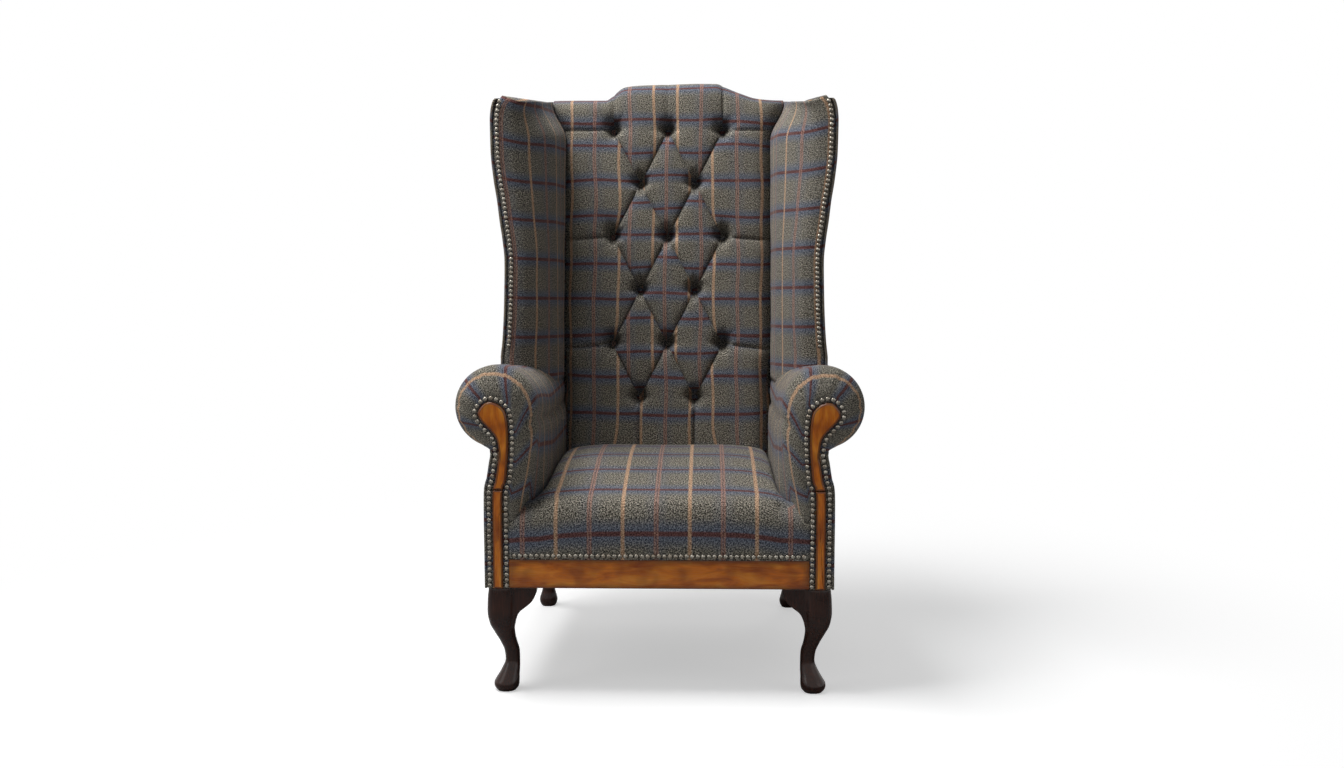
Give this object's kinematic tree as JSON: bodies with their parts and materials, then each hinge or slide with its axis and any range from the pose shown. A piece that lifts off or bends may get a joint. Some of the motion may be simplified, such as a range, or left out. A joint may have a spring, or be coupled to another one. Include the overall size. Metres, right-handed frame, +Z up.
{
  "type": "wing chair",
  "caption": "Tall upholstered wing chair with a buttoned back, scroll arms, wooden facings and front rail, close-set nail heads and cabriole front legs.",
  "frame": {"origin": "on the floor, under the middle of the chair's width and depth", "axes": "+Z up, +X to the right as seen from in front of the chair, the seat faces -Y"},
  "size_m": [0.7752, 0.791, 1.215],
  "materials": {
    "tweed": "woven tweed, matte",
    "show_wood": "polished",
    "leg_wood": "polished",
    "frame_wood": "planed, bare",
    "nail_heads": "antiqued",
    "steel": "plain",
    "webbing": "woven jute",
    "hessian": "open weave",
    "stuffing": "felted",
    "black_cloth": "matte",
    "twine": "waxed"
  },
  "bodies": {
    "root": {"front_rail": "show_wood", "back_rail": "frame_wood", "side_rail_left": "frame_wood", "side_rail_right": "frame_wood", "front_post_left": "frame_wood", "front_post_right": "frame_wood", "back_post_left": "frame_wood", "back_post_right": "frame_wood", "arm_rail_left": "frame_wood", "arm_rail_right": "frame_wood", "crest_rail": "frame_wood", "back_lower_rail": "frame_wood", "wing_post_left": "frame_wood", "wing_post_right": "frame_wood", "wing_top_rail_left": "frame_wood", "wing_top_rail_right": "frame_wood", "corner_blocks": "frame_wood", "corner_block_screws": "steel", "rail_dowels": "frame_wood", "front_leg_left": "leg_wood", "front_leg_right": "leg_wood", "rear_leg_left": "leg_wood", "rear_leg_right": "leg_wood", "leg_hanger_bolts": "steel", "arm_facing_left": "show_wood", "arm_facing_right": "show_wood", "post_facing_left": "show_wood", "post_facing_right": "show_wood", "post_cover_left": "tweed", "post_cover_right": "tweed", "seat_webbing": "webbing", "seat_springs": "steel", "seat_hessian": "hessian", "seat_stuffing": "stuffing", "seat_cover": "tweed", "dust_cover": "black_cloth", "back_webbing": "webbing", "back_hessian": "hessian", "back_stuffing": "stuffing", "back_cover": "tweed", "back_buttons": "tweed", "button_ties": "twine", "outside_back": "tweed", "arm_hessian_left": "hessian", "arm_hessian_right": "hessian", "arm_pad_left": "tweed", "arm_pad_right": "tweed", "outside_arm_left": "tweed", "outside_arm_right": "tweed", "wing_pad_left": "tweed", "wing_pad_right": "tweed", "outside_wing_left": "tweed", "outside_wing_right": "tweed", "facing_nails_left": "nail_heads", "facing_nails_right": "nail_heads", "wing_nails_left": "nail_heads", "wing_nails_right": "nail_heads", "front_rail_nails": "nail_heads"}
  },
  "joints": []
}
